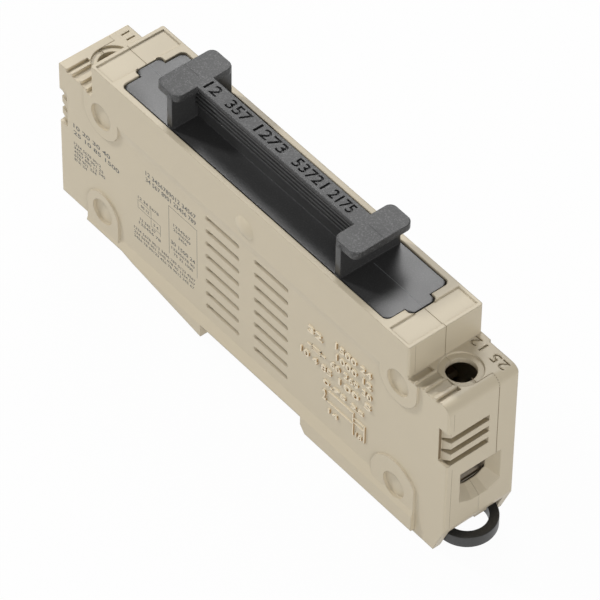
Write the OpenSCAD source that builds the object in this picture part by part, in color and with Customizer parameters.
// Fuse terminal block for one 10 x 85 mm cartridge fuse on a 35 mm rail.
// X runs along the block, Y across it and Z up. The latch loop points to +X.
// The origin lies on the resting plane, under the middle of the overall size.
// A place along the block is measured from the middle of the housing and is
// called u here. Both ends of the housing mirror each other, apart from the
// radius over the shoulder.

/* [Housing] */
// Length between the two end faces
body_len = 137.4; // [136.4:0.1:140]
// Width over the raised bands of both sides
body_w = 21; // [20.9:0.1:23]
// Height of the platform round the carrier
body_h = 58; // [57.4:0.1:60]
// Drop from the platform to the shoulder over each terminal
shoulder_drop = 9; // [8:0.1:9.4]
// Length of the low shoulder at each end
shoulder_len = 13.1; // [12.8:0.1:13.4]
// Thickness of the side walls under the raised bands
side_wall = 1.9; // [1.7:0.05:2]
// Thickness of the end walls round the wire entries
end_wall = 3.4; // [3.2:0.1:3.6]
// Thickness of the shoulder over a terminal chamber
roof_wall = 1.9; // [1.5:0.1:2.2]
// Depth of the side panels behind the raised bands
panel_recess = 0.5; // [0.3:0.05:0.6]
// Distance that the rail foot stands out from the raised bands
foot_out = 0.5; // [0.3:0.05:0.8]
// Radius of the upright corners
corner_r = 0.5; // [0.3:0.1:1]
// Radius over the outer edge of the right shoulder
shoulder_r = 2.4; // [1.5:0.1:3]
// Radius over the outer edge of the left shoulder
left_shoulder_r = 0.8; // [0.5:0.1:1.5]
// Height of the underside at the plain end
end_bottom_z = 7.5; // [7:0.1:8]
// Floor height of the terminal chambers
chamber_floor_z = 9.5; // [9.2:0.1:10]

/* [Ears] */
// Distance from each end face to its upper dimples
upper_inset = 16.4; // [16.2:0.1:16.6]
// Drop from the shoulder to the upper dimples
upper_drop = 4.8; // [4.6:0.1:5]
// Radius of the upper ears
upper_ear_r = 6.3; // [5.6:0.1:7]
// Distance from the left end face to its lower dimples
left_inset = 16.1; // [15.8:0.1:16.4]
// Height of the lower dimples at the left end
left_ear_z = 12.8; // [12.4:0.1:13.2]
// Radius of the lower ears at the left end
left_ear_r = 5.8; // [5.2:0.1:6.4]
// Distance from the right end face to its lower dimples
right_inset = 16.7; // [16.4:0.1:17]
// Height of the lower dimples at the right end
right_ear_z = 10.1; // [9.8:0.1:10.4]
// Radius of the lower ears at the right end
right_ear_r = 7.9; // [7.2:0.1:8.4]
// Radius of the dimples
dimple_r = 3.5; // [3.2:0.1:4]
// Radius of the pins behind the dimples
pin_r = 1.6; // [1.2:0.1:2]

/* [Rail foot] */
// Length of the foot to the left of the rail gap
foot_len = 29.2; // [28:0.1:30]
// Height of the underside at the left end of the foot
foot_back_z = 6; // [5.8:0.1:6.2]
// Width of the gap for the rail between the feet
rail_gap = 36; // [35.6:0.1:37]
// Distance from the middle of the housing to the middle of the gap
rail_shift = 2.15; // [1.5:0.05:2.6]
// Height of the face that seats on the rail
rail_z = 5.4; // [5.3:0.1:5.6]
// Thickness of the rail flange
flange_t = 1; // [1:0.1:1.1]
// Overhang of the fixed hook and of the latch beak
hook_reach = 1.2; // [1:0.1:1.4]
// Lowest height of the fixed hook
hook_z = 1.6; // [1.2:0.1:1.9]
// Half width of the fixed hook
hook_w = 6.5; // [5:0.1:7.5]

/* [Fuse] */
// Length of the cartridge fuse
fuse_len = 85; // [84.6:0.1:85.2]
// Radius of the end caps
cap_r = 5.15; // [5:0.05:5.2]
// Length of the end caps
cap_len = 10; // [9:0.1:11.5]
// Thickness of the end caps
cap_t = 0.4; // [0.3:0.05:0.6]

/* [Carrier] */
// Overhang of the cover plate past the end walls of the carrier
plate_over = 1.95; // [1.6:0.05:2.2]
// Width of the cover plate
plate_w = 17.5; // [17.3:0.1:17.7]
// Thickness of the cover plate
plate_t = 2.4; // [2:0.1:2.6]
// Length of the label field at each end of the platform
label_len = 6.3; // [5:0.1:6.6]
// Gap between the cover plate and the housing
plate_gap = 0.3; // [0.2:0.05:0.4]
// Depth of the cover plate below the platform
plate_drop = 0.3; // [0.1:0.05:0.5]
// Length of the tongue at each end of the plate
tongue_len = 2; // [1.6:0.1:2.2]
// Half width of the tongues
tongue_w = 3.5; // [3:0.1:4.5]
// Height of the grip above the platform
grip_h = 10.25; // [8:0.05:12]
// Length of each grip head along the block
head_len = 7.6; // [6.8:0.1:8.6]
// Half width of the grip heads
head_w = 8.3; // [7.5:0.1:8.6]
// Thickness of the grip heads
head_t = 2; // [1.6:0.1:2.6]
// Inner end of the grip heads
head_u = 27.1; // [26:0.1:27.6]
// Inner face of the web under each head
web_u = 28.4; // [28:0.1:29.5]
// Thickness of the webs
web_t = 1.8; // [1.4:0.1:2.2]
// Half width of the bar between the heads
bar_w = 2.35; // [2:0.05:3]
// Half thickness of the web under the bar
bar_web = 1.2; // [0.9:0.05:1.5]
// Thickness of the carrier side skirts
skirt_t = 0.9; // [0.7:0.05:1]
// Depth of the side skirts below the cover plate
skirt_depth = 8.8; // [7.8:0.1:9.2]

/* [Contacts] */
// Thickness of the jaw sheet
jaw_t = 0.8; // [0.6:0.05:0.85]
// Length of a jaw along the fuse
jaw_len = 8.4; // [7:0.1:8.6]
// Height of the straight part of a jaw above the middle of the fuse
jaw_rise = 1.2; // [0.8:0.1:1.4]
// Height of the flared lip of a jaw
jaw_lip = 2; // [1.6:0.1:2.2]
// Distance that the lip of a jaw flares outwards
jaw_flare = 0.9; // [0.6:0.05:0.95]
// Height of the jaw floor below the fuse cap
jaw_drop = 2.1; // [1.8:0.1:2.4]
// Thickness of the spring clip round a jaw
clip_t = 0.6; // [0.5:0.05:0.7]
// Length of a spring clip along the fuse
clip_len = 4.4; // [3:0.1:5.4]
// Thickness of the busbars
bar_t = 1.6; // [1.2:0.1:1.8]
// Half width of the busbars
busbar_w = 4; // [3.5:0.1:4.2]
// Radius of the rivet shanks
rivet_r = 1.5; // [1.2:0.1:1.8]

/* [Terminals] */
// Distance from an end face to its terminal screw
screw_inset = 7.7; // [7.6:0.05:7.8]
// Radius of the screw access hole
access_r = 3.6; // [3.5:0.05:3.8]
// Radius of the screw shank
screw_r = 2.5; // [2.3:0.05:2.6]
// Radius of the screw head
screw_head_r = 3.9; // [3.8:0.05:4.2]
// Height of the screw head
screw_head_h = 2.9; // [2.4:0.1:3.2]
// Radial play of the screw in the cage thread
screw_play = 0.06; // [0.03:0.01:0.09]
// Half width of the cage window
cage_window = 4.6; // [4.4:0.05:4.8]
// Wall thickness of the clamp cage
cage_t = 1.2; // [1:0.05:1.3]
// Length of the clamp cage along the block
cage_len = 8.1; // [7.4:0.1:8.2]
// Height of the clamp cage floor with the terminal open
cage_floor_z = 16.8; // [16:0.1:17]
// Travel of the clamp cage
cage_travel = 5; // [3:0.1:5]
// Underside of the busbar tongue
tongue_z = 24.7; // [24:0.1:25]

/* [Latch] */
// Half width of the latch slide
latch_w = 7.35; // [6.8:0.05:7.5]
// Lower face of the latch slide
latch_z = 1.4; // [1.3:0.05:1.6]
// Thickness of the latch slide
latch_t = 3.2; // [2.8:0.05:3.3]
// Reach of the loop past the end face
loop_out = 3.6; // [3:0.1:4.4]
// Width of the band of the loop
loop_band = 2.3; // [1.8:0.1:2.6]
// Distance that the latch is pulled to free the rail
latch_travel = 2.8; // [2.4:0.1:3]
// Distance from the rail gap to the window for the spring
window_inset = 10; // [8:0.1:12]
// Length of the window for the spring
window_len = 18; // [16:0.1:20]
// Half width of the window for the spring
window_w = 3; // [2.6:0.1:3.6]
// Radius of the coils of the latch spring
spring_r = 1.1; // [0.9:0.05:1.2]
// Radius of the wire of the latch spring
spring_wire = 0.25; // [0.2:0.01:0.3]

/* [Ventilation] */
// Number of slots in each column
vent_count = 8; // [4:1:8]
// Distance between the slots
vent_pitch = 4.09; // [3.6:0.01:4.2]
// Height of a slot
vent_h = 1.3; // [0.8:0.1:1.8]
// Length of a slot
vent_len = 12; // [8:0.1:13]
// Height of the lowest slot
vent_z = 12.6; // [12:0.1:13]

/* [Hidden] */
$fn = 48;
eps = 0.01;
half = body_len / 2;
side = body_w / 2;
panel = side - panel_recess;
foot = side + foot_out;
pl = half - shoulder_len;
shoulder_z = body_h - shoulder_drop;
screw_u = half - screw_inset;
loop_u = half + loop_out;
mid = -loop_out / 2;
gap_l = rail_shift - rail_gap / 2;
gap_r = rail_shift + rail_gap / 2;
cav = side - side_wall;

// Heights of the carrier and of the fuse in it
plate_top = body_h - plate_drop;
plate_bottom = plate_top - plate_t;
fuse_z = plate_bottom - cap_r - 0.7;
tube_r = cap_r - cap_t;
skirt_y = cav - 0.3;
skirt_z = plate_bottom - skirt_depth;
end_in = fuse_len / 2 + 0.25;
end_out = end_in + 1.3;
chamber = end_out + 0.8;
partition = 2;
plate_u = end_out + plate_over;
tongue_u = plate_u + tongue_len;
saddle_u = fuse_len / 2 - cap_len - 3.2;

// Field for a label at each end of the platform
label_u0 = tongue_u + plate_gap;
label_u1 = label_u0 + label_len;

// Heights where the raised band of the platform starts, and end of the foot
band_z = shoulder_z - 3;
band_low = shoulder_z - 6;
foot_end = half - 9.9;
left_foot = 10.3 - half;
head_top = body_h + grip_h;

// Heights of the contacts, from the fuse down
cap_play = 0.05;
jaw_in = cap_r + cap_play;
jaw_u = fuse_len / 2 - cap_len / 2;
jaw_base_z = fuse_z - cap_r - jaw_drop;
clip_base_z = jaw_base_z - jaw_t;
busbar_top = clip_base_z - clip_t;
leg_u = screw_u - cage_len / 2 - 1 - bar_t;
tongue_top = tongue_z + bar_t;
bend_z = fuse_z + jaw_rise;
lip_z = bend_z + jaw_lip;
jaw_room = 0.6;

// Terminal chamber and its guides
term_u0 = chamber + partition;
term_u1 = half - end_wall;
term_top = shoulder_z - roof_wall;
cage_side = cage_window + cage_t;
cage_top_z = tongue_top + 2.1;
cage_cap = 3;
guide_z = cage_top_z + cage_cap + cage_travel + 0.6;
head_z = guide_z + 0.8;
entry_top = 25.2;

// Floor of the middle room, and the hollow of the foot under it
floor_z = rail_z + 2.2;
foot_wall = 3.4;
foot_u = gap_l - foot_len + foot_wall - 0.2;

// Latch channel
channel_y = latch_w + 0.4;
channel_bottom = latch_z - 0.3;
channel_top = latch_z + latch_t + 0.3;
mouth_z = 7;
beak_u = gap_r - hook_reach - 1.2;
loop_r = latch_w;
loop_c = loop_u - loop_r;
window_u0 = gap_r + window_inset;
window_u1 = window_u0 + window_len;
post_u = window_u1 - 1.8;
post_t = 1.5;

// Dimples, and the pins behind them, as [u, z, radius of the ear]
dimples = [
    [upper_inset - half, shoulder_z - upper_drop, upper_ear_r],
    [half - upper_inset, shoulder_z - upper_drop, upper_ear_r],
    [left_inset - half, left_ear_z, left_ear_r],
    [half - right_inset, right_ear_z, right_ear_r]
];
pin_end = cav - 1.4;

// Spacer domes, from their height and the radius of their foot
bump_h = 0.9;
bump_r = 3.1;
bump_ball = (bump_r * bump_r + bump_h * bump_h) / (2 * bump_h);

// Grooves of the grip on each shoulder, as [from, to, end in Y] past the platform
grooves = [[0, 1.9, -4.7], [2.4, 4.6, -4.3], [5.2, 7.8, -3.9], [8.7, 9.9, -3.9]];
groove_depth = 0.8;

// Louvres in the near half of each end face, and the step beside them
louvre_drop = 9.5;
louvre_len = 3;
louvre_pitch = 3.65;
louvre_h = 1.75;
louvre_y = 1.9;
louvre_step = 0.9;
louvre_top = shoulder_z - louvre_drop;
tab_len = 2.6;
tab_y = 4.4;

beige = [0.80, 0.77, 0.69];
dark = [0.33, 0.34, 0.36];
darker = [0.24, 0.25, 0.26];
ceramic = [0.92, 0.90, 0.85];
silver = [0.78, 0.78, 0.80];
steel = [0.62, 0.63, 0.65];
copper = [0.80, 0.55, 0.40];

// Moves a shape from the middle of the housing to its place in the part
module placed() translate([mid, 0, 0]) children();

// Mirrors a shape to the left end for end = -1
module at_end(end) {
    if (end < 0) mirror([1, 0, 0]) children();
    else children();
}

// Outline in X and Z, given thickness from y0 to y1
module slab(y0, y1) {
    translate([0, y1, 0]) rotate([90, 0, 0]) linear_extrude(y1 - y0) children();
}

// Outline in Y and Z, given length from u0 to u1
module bar_x(u0, u1) {
    translate([u0, 0, 0]) rotate([90, 0, 90]) linear_extrude(u1 - u0) children();
}

// Outline in X and Y, given height from z0 to z1
module layer(z0, z1) translate([0, 0, z0]) linear_extrude(z1 - z0) children();

// Box from one corner to the other
module box(a, b) translate(a) cube(b - a);

// Rectangle with round corners
module rounded(u0, u1, y, r) {
    translate([u0 + r, -y]) square([u1 - u0 - 2 * r, 2 * y]);
    translate([u0, r - y]) square([u1 - u0, 2 * (y - r)]);
    for (cu = [u0 + r, u1 - r], cy = [r - y, y - r]) translate([cu, cy]) circle(r);
}

// Slot with round ends, in X and Z
module slot_outline(length, h) {
    square([length - h, h], center = true);
    for (s = [-1, 1]) translate([s * (length - h) / 2, 0]) circle(h / 2);
}

// What a radius takes off the outer edge of a shoulder
module shoulder_edge(r) slab(-foot, foot) difference() {
    translate([half - r, shoulder_z - r]) square(r + 1);
    translate([half - r, shoulder_z - r]) circle(r);
}

// Underside and ends of the housing, up to the shoulders
module base_outline() {
    polygon([
        [-half, end_bottom_z], [-half, shoulder_z], [half, shoulder_z],
        [half, 8.7], [half - 3.4, 0], [gap_r + 1.6, 0],
        [gap_r, 2.4], [gap_r, rail_z], [gap_l, rail_z], [gap_l, hook_z],
        [gap_l - foot_len, foot_back_z], [left_foot, foot_back_z],
        [left_foot - 0.6, end_bottom_z]
    ]);
}

// Rail foot, which stands out from both sides
module foot_band() {
    intersection() {
        slab(-foot, foot) polygon([
            [left_foot, foot_back_z], [gap_l - foot_len, foot_back_z],
            [gap_l, hook_z], [gap_l, rail_z],
            [gap_r, rail_z], [gap_r, 2.9], [gap_r + 1.6, 0.9],
            [foot_end, 0.9], [foot_end, 8.6], [left_foot, 8.6]
        ]);
        bar_x(-half, half) polygon([
            [-panel, 8.6], [-foot, rail_z], [-foot, -1],
            [foot, -1], [foot, rail_z], [panel, 8.6]
        ]);
    }
}

// Raised ears round the dimples
module ears() {
    slab(-side, side) {
        intersection() {
            for (d = dimples) translate([d[0], d[1]]) circle(d[2]);
            translate([-half, 0]) square([half + foot_end, shoulder_z]);
        }
        for (s = [0, 1]) {
            d = dimples[s];
            x0 = s == 0 ? d[0] - d[2] : d[0] - 3;
            translate([x0, d[1]]) square([d[2] + 3, shoulder_z - d[1]]);
        }
        translate([dimples[3][0], 0.9]) square([foot_end - dimples[3][0], dimples[3][1] - 0.9]);
        translate([dimples[2][0] - left_ear_r, foot_back_z])
            square([2 * left_ear_r, left_ear_z - foot_back_z]);
    }
}

// Outer form of the whole housing
module outer_form() {
    difference() {
        intersection() {
            slab(-panel, panel) base_outline();
            layer(-1, shoulder_z + 1) rounded(-half, half, panel, corner_r);
        }
        at_end(-1) shoulder_edge(left_shoulder_r);
        at_end(1) shoulder_edge(shoulder_r);
    }
    layer(band_z, body_h) rounded(-pl, pl, side, corner_r);
    bar_x(-pl + corner_r, pl - corner_r) polygon([
        [-panel, band_low], [-side, band_z], [side, band_z], [panel, band_low]
    ]);
    ears();
    foot_band();
}

// Room for the carrier and the fuse, with the foot hollow under it
module middle_room() {
    slab(-cav, cav) polygon([
        [-chamber, floor_z], [foot_u, floor_z], [foot_u, foot_back_z + 0.9],
        [gap_l - foot_wall, hook_z + 1.9], [gap_l - foot_wall, floor_z],
        [chamber, floor_z], [chamber, body_h], [-chamber, body_h]
    ]);
    layer(plate_bottom - 0.05, body_h + 1) {
        rounded(-plate_u - plate_gap, plate_u + plate_gap, plate_w / 2 + plate_gap, 1.5);
        rounded(-tongue_u - plate_gap, tongue_u + plate_gap, tongue_w + plate_gap, 1.2);
    }
}

// Funnel that leads the wire through an end wall
module wire_entry() {
    hull() {
        bar_x(half - eps, half + 1) polygon([
            [-5.9, entry_top], [5.9, entry_top], [5.9, 15.9], [2.2, 14.2],
            [-2.2, 14.2], [-5.9, 15.9]
        ]);
        bar_x(term_u1 - 0.5, term_u1) polygon([
            [-3.9, entry_top], [3.9, entry_top], [3.9, 18.2], [1.6, 17],
            [-1.6, 17], [-3.9, 18.2]
        ]);
    }
}

// Everything cut from the end of the housing that lies towards end * X
module end_cuts(end) {
    difference() {
        slab(-cav, cav) translate([term_u0, chamber_floor_z])
            square([term_u1 - term_u0, term_top - chamber_floor_z]);
        for (u = [screw_u - 3.2, screw_u + 1.8], s = [0, 1]) mirror([0, s, 0])
            box([u, cage_side + 0.15, 0], [u + 1.4, cav + 1, guide_z]);
        for (d = dimples) if (d[0] * end > 0) rotate([90, 0, 0])
            translate([d[0] * end, d[1], 0]) cylinder(r = 2.8, h = body_w, center = true);
    }
    // Slot for the busbar in the partition
    box([chamber - 1, -busbar_w - 0.1, busbar_top - bar_t - 0.1],
        [term_u0 + 1, busbar_w + 0.1, busbar_top + 0.1]);
    wire_entry();
    translate([screw_u, 0, term_top - 1]) cylinder(r = access_r, h = shoulder_z);
    translate([screw_u, 0, shoulder_z - 0.5]) cylinder(r = access_r + 1.5, h = 2);
    // Ribbed grip in front of the access hole
    for (g = grooves) box([pl + g[0], -side - 1, shoulder_z - groove_depth],
        [pl + g[1], g[2], shoulder_z + 1]);
    // Field for a label on the platform
    box([label_u0, -side + 0.8, body_h - 0.35], [label_u1, side - 0.8, body_h + 1]);
    // Louvres, which slope down towards the chamber
    box([half - louvre_len, -side - 1, louvre_top - 2 * louvre_pitch - 1.9],
        [half + 1, -panel + louvre_step, louvre_top + 1.4]);
    for (k = [0:2]) {
        z = louvre_top - louvre_pitch * k;
        slab(-panel + louvre_step - eps, louvre_y) polygon([
            [half + 1, z + 0.78], [half + 1, z - louvre_h + 0.41],
            [term_u1 - 0.1, z - louvre_h - 0.41 * (end_wall + 0.1)],
            [term_u1 - 0.1, z - 0.78 * (end_wall + 0.1)]
        ]);
    }
}

// Channel of the latch slide, with its spring post left standing
module latch_channel() {
    difference() {
        union() {
            box([gap_r - 1, -channel_y, channel_bottom], [half + 1, channel_y, channel_top]);
            box([gap_r - 1, -channel_y + 1.6, -1], [half + 1, channel_y - 1.6, channel_top]);
        }
        box([post_u, -2.4, 2], [post_u + post_t, 2.4, mouth_z]);
    }
    difference() {
        box([half - 8.2, -channel_y - 0.15, -1], [half + 1, channel_y + 0.15, mouth_z]);
        box([half - 8.2, 0.4, channel_top], [half - 1.6, 4, mouth_z + 1]);
    }
}

// Both halves of the housing in one piece
module shell() {
    difference() {
        outer_form();
        middle_room();
        for (end = [-1, 1]) at_end(end) end_cuts(end);
        latch_channel();
        for (d = dimples) {
            for (s = [-1, 1]) translate([d[0], s * (side + 1), d[1]]) rotate([90, 0, 0])
                cylinder(r = dimple_r, h = 3.6, center = true);
            translate([d[0], 0, d[1]]) rotate([90, 0, 0])
                cylinder(r = pin_r, h = 2 * pin_end, center = true);
        }
        for (s = [-1, 1], col = [-8.9, 8.4], i = [0 : vent_count - 1])
            slab(s < 0 ? -side - 1 : cav - 1, s < 0 ? 1 - cav : side + 1)
                translate([col, vent_z + vent_pitch * i]) slot_outline(vent_len, vent_h);
    }
    // Spacer domes on the sides
    for (s = [0, 1]) mirror([0, s, 0]) intersection() {
        translate([-0.5, side + bump_h - bump_ball, shoulder_z + 1]) sphere(bump_ball);
        box([-5, side - 0.3, shoulder_z - 4], [5, side + bump_h + 1, shoulder_z + 6]);
    }
    // Fixed hook under the rail flange
    slab(-hook_w, hook_w) polygon([
        [gap_l - 2, hook_z], [gap_l + 0.5, hook_z], [gap_l + hook_reach, hook_z + 1],
        [gap_l + hook_reach, rail_z - flange_t - 0.2], [gap_l - 2, rail_z - flange_t - 0.2]
    ]);
}

// Space of the near half: all of -Y, and the tabs with the louvres
module near_zone() {
    box([-half - 5, -side - 5, -5], [half + 5, 0, body_h + 5]);
    for (end = [-1, 1]) at_end(end)
        box([half - tab_len, -1, entry_top], [half + 5, tab_y, body_h + 5]);
}

module housing_near() color(beige) placed() intersection() {
    shell();
    near_zone();
}

module housing_far() color(beige) placed() difference() {
    shell();
    near_zone();
}

module housing_pins() color(beige) placed() for (d = dimples)
    translate([d[0], 0, d[1]]) rotate([90, 0, 0])
        cylinder(r = pin_r, h = 2 * pin_end, center = true);

// Half of the section of the grip bar, with its moulded ribs
function rib_steps(z) = [for (i = [0:3])
    each [[bar_w - 0.8, z - 1.3 * i], [bar_w - 0.8, z - 0.65 - 1.3 * i],
          [bar_w - 0.25, z - 0.65 - 1.3 * i], [bar_w - 0.25, z - 1.3 - 1.3 * i]]];

module bar_section() {
    for (s = [0, 1]) mirror([s, 0]) polygon(concat(
        [[-eps, head_top], [bar_w, head_top], [bar_w, head_top - 1.2]],
        rib_steps(head_top - 1.2),
        [[bar_web, head_top - 6.4], [bar_web, plate_bottom], [-eps, plate_bottom]]
    ));
}

// Saddle that holds the fuse tube and is open below
module saddle(u) {
    difference() {
        box([u - 1, -skirt_y + 0.2, fuse_z - 2.4], [u + 1, skirt_y - 0.2, plate_bottom + 0.5]);
        translate([u, 0, fuse_z]) rotate([0, 90, 0])
            cylinder(r = tube_r + 0.05, h = 6, center = true);
        box([u - 2, -tube_r + 0.45, fuse_z - 6], [u + 2, tube_r - 0.45, fuse_z]);
    }
}

module fuse_carrier() color(dark) placed() {
    layer(plate_bottom, plate_top) {
        rounded(-plate_u, plate_u, plate_w / 2, 1.5);
        rounded(-tongue_u, tongue_u, tongue_w, 1.2);
    }
    bar_x(-head_u - 1, head_u + 1) bar_section();
    for (end = [-1, 1]) at_end(end) {
        layer(head_top - head_t, head_top) rounded(head_u, head_u + head_len, head_w, 1.8);
        box([web_u, -plate_w / 2 + 0.15, plate_bottom],
            [web_u + web_t, plate_w / 2 - 0.15, head_top - head_t / 2]);
        box([end_in, -skirt_y, skirt_z], [end_out, skirt_y, plate_bottom + 0.5]);
        for (u = [12, saddle_u]) saddle(u);
    }
    // The side skirts are open at the jaws
    for (s = [0, 1]) mirror([0, s, 0]) difference() {
        box([-end_out, skirt_y - skirt_t, skirt_z], [end_out, skirt_y, plate_bottom + 0.5]);
        for (end = [-1, 1]) at_end(end)
            box([jaw_u - jaw_len / 2 - jaw_room, skirt_y - skirt_t - 1, skirt_z - 1],
                [jaw_u + jaw_len / 2 + jaw_room, skirt_y + 1, lip_z + jaw_room]);
    }
}

module fuse_tube() color(ceramic) placed()
    translate([0, 0, fuse_z]) rotate([0, 90, 0])
        cylinder(r = tube_r, h = fuse_len - 2 * cap_t, center = true);

module fuse_cap(end) color(silver) placed() at_end(end)
    translate([fuse_len / 2 - cap_len, 0, fuse_z]) rotate([0, 90, 0]) difference() {
        cylinder(r = cap_r, h = cap_len);
        translate([0, 0, -1]) cylinder(r = tube_r, h = cap_len - cap_t + 1);
    }

module fuse_cap_left() fuse_cap(-1);
module fuse_cap_right() fuse_cap(1);

// Sheet bent to a U that grips a fuse cap between two split leaves
module jaw(end) color(copper) placed() at_end(end) difference() {
    bar_x(jaw_u - jaw_len / 2, jaw_u + jaw_len / 2) polygon([
        [-jaw_in - jaw_t, clip_base_z], [jaw_in + jaw_t, clip_base_z],
        [jaw_in + jaw_t, bend_z], [jaw_in + jaw_t + jaw_flare, lip_z],
        [jaw_in + jaw_flare, lip_z], [jaw_in, bend_z], [jaw_in, jaw_base_z],
        [-jaw_in, jaw_base_z], [-jaw_in, bend_z], [-jaw_in - jaw_flare, lip_z],
        [-jaw_in - jaw_t - jaw_flare, lip_z], [-jaw_in - jaw_t, bend_z]
    ]);
    box([jaw_u - 0.4, -side, jaw_base_z + 2], [jaw_u + 0.4, side, lip_z + 1]);
    translate([jaw_u, 0, clip_base_z - jaw_t]) cylinder(r = rivet_r, h = 3 * jaw_t);
}

module jaw_left() jaw(-1);
module jaw_right() jaw(1);

module jaw_clip(end) color(steel) placed() at_end(end) difference() {
    box([jaw_u - clip_len / 2, -jaw_in - jaw_t - clip_t, busbar_top],
        [jaw_u + clip_len / 2, jaw_in + jaw_t + clip_t, fuse_z]);
    box([jaw_u - clip_len, -jaw_in - jaw_t, clip_base_z],
        [jaw_u + clip_len, jaw_in + jaw_t, fuse_z + 1]);
    translate([jaw_u, 0, busbar_top - clip_t]) cylinder(r = rivet_r, h = 3 * clip_t);
}

module jaw_clip_left() jaw_clip(-1);
module jaw_clip_right() jaw_clip(1);

module jaw_rivet(end) color(copper) placed() at_end(end) translate([jaw_u, 0, 0]) {
    translate([0, 0, busbar_top - bar_t]) cylinder(r = rivet_r, h = jaw_base_z - busbar_top + bar_t);
    translate([0, 0, jaw_base_z]) cylinder(r = rivet_r + 1, h = 0.7);
    translate([0, 0, busbar_top - bar_t - 0.7]) cylinder(r = rivet_r + 1, h = 0.7);
}

module jaw_rivet_left() jaw_rivet(-1);
module jaw_rivet_right() jaw_rivet(1);

// Bar from the jaw through the partition, down to the tongue in the cage
module busbar(end) color(copper) placed() at_end(end) difference() {
    slab(-busbar_w, busbar_w) polygon([
        [jaw_u - jaw_len / 2, busbar_top - bar_t], [jaw_u - jaw_len / 2, busbar_top],
        [leg_u + bar_t - 0.8, busbar_top], [leg_u + bar_t, busbar_top - 0.8],
        [leg_u + bar_t, tongue_top], [term_u1 - 0.9, tongue_top],
        [term_u1 - 0.9, tongue_z], [leg_u + 0.8, tongue_z],
        [leg_u, tongue_z + 0.8], [leg_u, busbar_top - bar_t]
    ]);
    translate([jaw_u, 0, busbar_top - 3]) cylinder(r = rivet_r, h = 6);
}

module busbar_left() busbar(-1);
module busbar_right() busbar(1);

// Cage with a threaded cap and a serrated floor
module clamp_cage(end) color(silver) placed() at_end(end) {
    u0 = screw_u - cage_len / 2;
    u1 = screw_u + cage_len / 2;
    difference() {
        box([u0, -cage_side, cage_floor_z - 1.8], [u1, cage_side, cage_top_z + cage_cap]);
        box([u0 - 1, -cage_window, cage_floor_z], [u1 + 1, cage_window, cage_top_z]);
        translate([screw_u, 0, cage_top_z - 1])
            cylinder(r = screw_r + screw_play, h = cage_cap + 2);
    }
    for (i = [0:2]) translate([u1 - 1.4 - 2.4 * i, 0, 0])
        slab(-cage_window, cage_window) polygon([
            [-0.9, cage_floor_z - 0.1], [0, cage_floor_z + 0.6], [0.9, cage_floor_z - 0.1]
        ]);
}

module clamp_cage_left() clamp_cage(-1);
module clamp_cage_right() clamp_cage(1);

module clamp_screw(end) color(steel) placed() at_end(end) translate([screw_u, 0, 0]) {
    translate([0, 0, tongue_top + 0.05]) cylinder(r = screw_r, h = head_z - tongue_top);
    difference() {
        translate([0, 0, head_z]) cylinder(r = screw_head_r, h = screw_head_h);
        for (a = [0, 90]) rotate([0, 0, a])
            box([-2.2, -0.5, head_z + screw_head_h - 1.5], [2.2, 0.5, head_z + screw_head_h + 1]);
    }
}

module clamp_screw_left() clamp_screw(-1);
module clamp_screw_right() clamp_screw(1);

module latch_slide() color(darker) placed() difference() {
    layer(latch_z, latch_z + latch_t) difference() {
        union() {
            translate([beak_u, -latch_w]) square([loop_c - beak_u, 2 * latch_w]);
            translate([loop_c, 0]) circle(loop_r);
        }
        translate([loop_c, 0]) circle(loop_r - loop_band);
        translate([loop_c - 3, -loop_r + loop_band]) square([3, 2 * (loop_r - loop_band)]);
        translate([window_u0, -window_w]) square([window_len, 2 * window_w]);
    }
    // The beak fits under the rail flange and slopes so that it snaps on
    slab(-foot, foot) polygon([
        [beak_u - 1, rail_z - flange_t - 0.3], [gap_r - 0.3, rail_z - flange_t - 0.3],
        [gap_r - 0.3, rail_z + 1], [beak_u - 1, rail_z + 1]
    ]);
    slab(-foot, foot) polygon([
        [beak_u - 1, latch_z - 1], [gap_r - 0.2, latch_z - 1], [gap_r - 0.2, latch_z],
        [beak_u, rail_z - flange_t - 1], [beak_u - 1, rail_z - flange_t - 1]
    ]);
    // The beak clears the fixed lips beside it
    for (s = [-1, 1]) translate([beak_u - 1, s < 0 ? -foot : hook_w, latch_z - 1])
        cube([gap_r - 0.3 - beak_u + 1, foot - hook_w, latch_t + 2]);
}

// Helix along X, as [u, y, z] points round a wire of square-set sides
spring_turns = 8;
spring_steps = 12;
spring_sides = 6;
spring_z = latch_z + latch_t / 2;
spring_n = spring_turns * spring_steps;
spring_u0 = window_u0 + spring_wire;
spring_u1 = post_u - spring_wire;

function spring_point(i, j) =
    let (a = 360 * i / spring_steps, b = 360 * j / spring_sides,
         r = spring_r + spring_wire * cos(b))
    [spring_u0 + (spring_u1 - spring_u0) * i / spring_n + spring_wire * sin(b),
     r * cos(a), spring_z + r * sin(a)];

module latch_spring() color(steel) placed() polyhedron(
    points = [for (i = [0:spring_n], j = [0 : spring_sides - 1]) spring_point(i, j)],
    faces = concat(
        [for (i = [0 : spring_n - 1], j = [0 : spring_sides - 1])
            let (k = (j + 1) % spring_sides, a = i * spring_sides, b = a + spring_sides)
            each [[a + j, a + k, b + k], [a + j, b + k, b + j]]],
        [[for (j = [spring_sides - 1 : -1 : 0]) j]],
        [[for (j = [0 : spring_sides - 1]) spring_n * spring_sides + j]]
    )
);

housing_near();
housing_far();
housing_pins();
fuse_carrier();
fuse_tube();
fuse_cap_left();
fuse_cap_right();
jaw_left();
jaw_right();
jaw_clip_left();
jaw_clip_right();
jaw_rivet_left();
jaw_rivet_right();
busbar_left();
busbar_right();
clamp_cage_left();
clamp_cage_right();
clamp_screw_left();
clamp_screw_right();
latch_slide();
latch_spring();
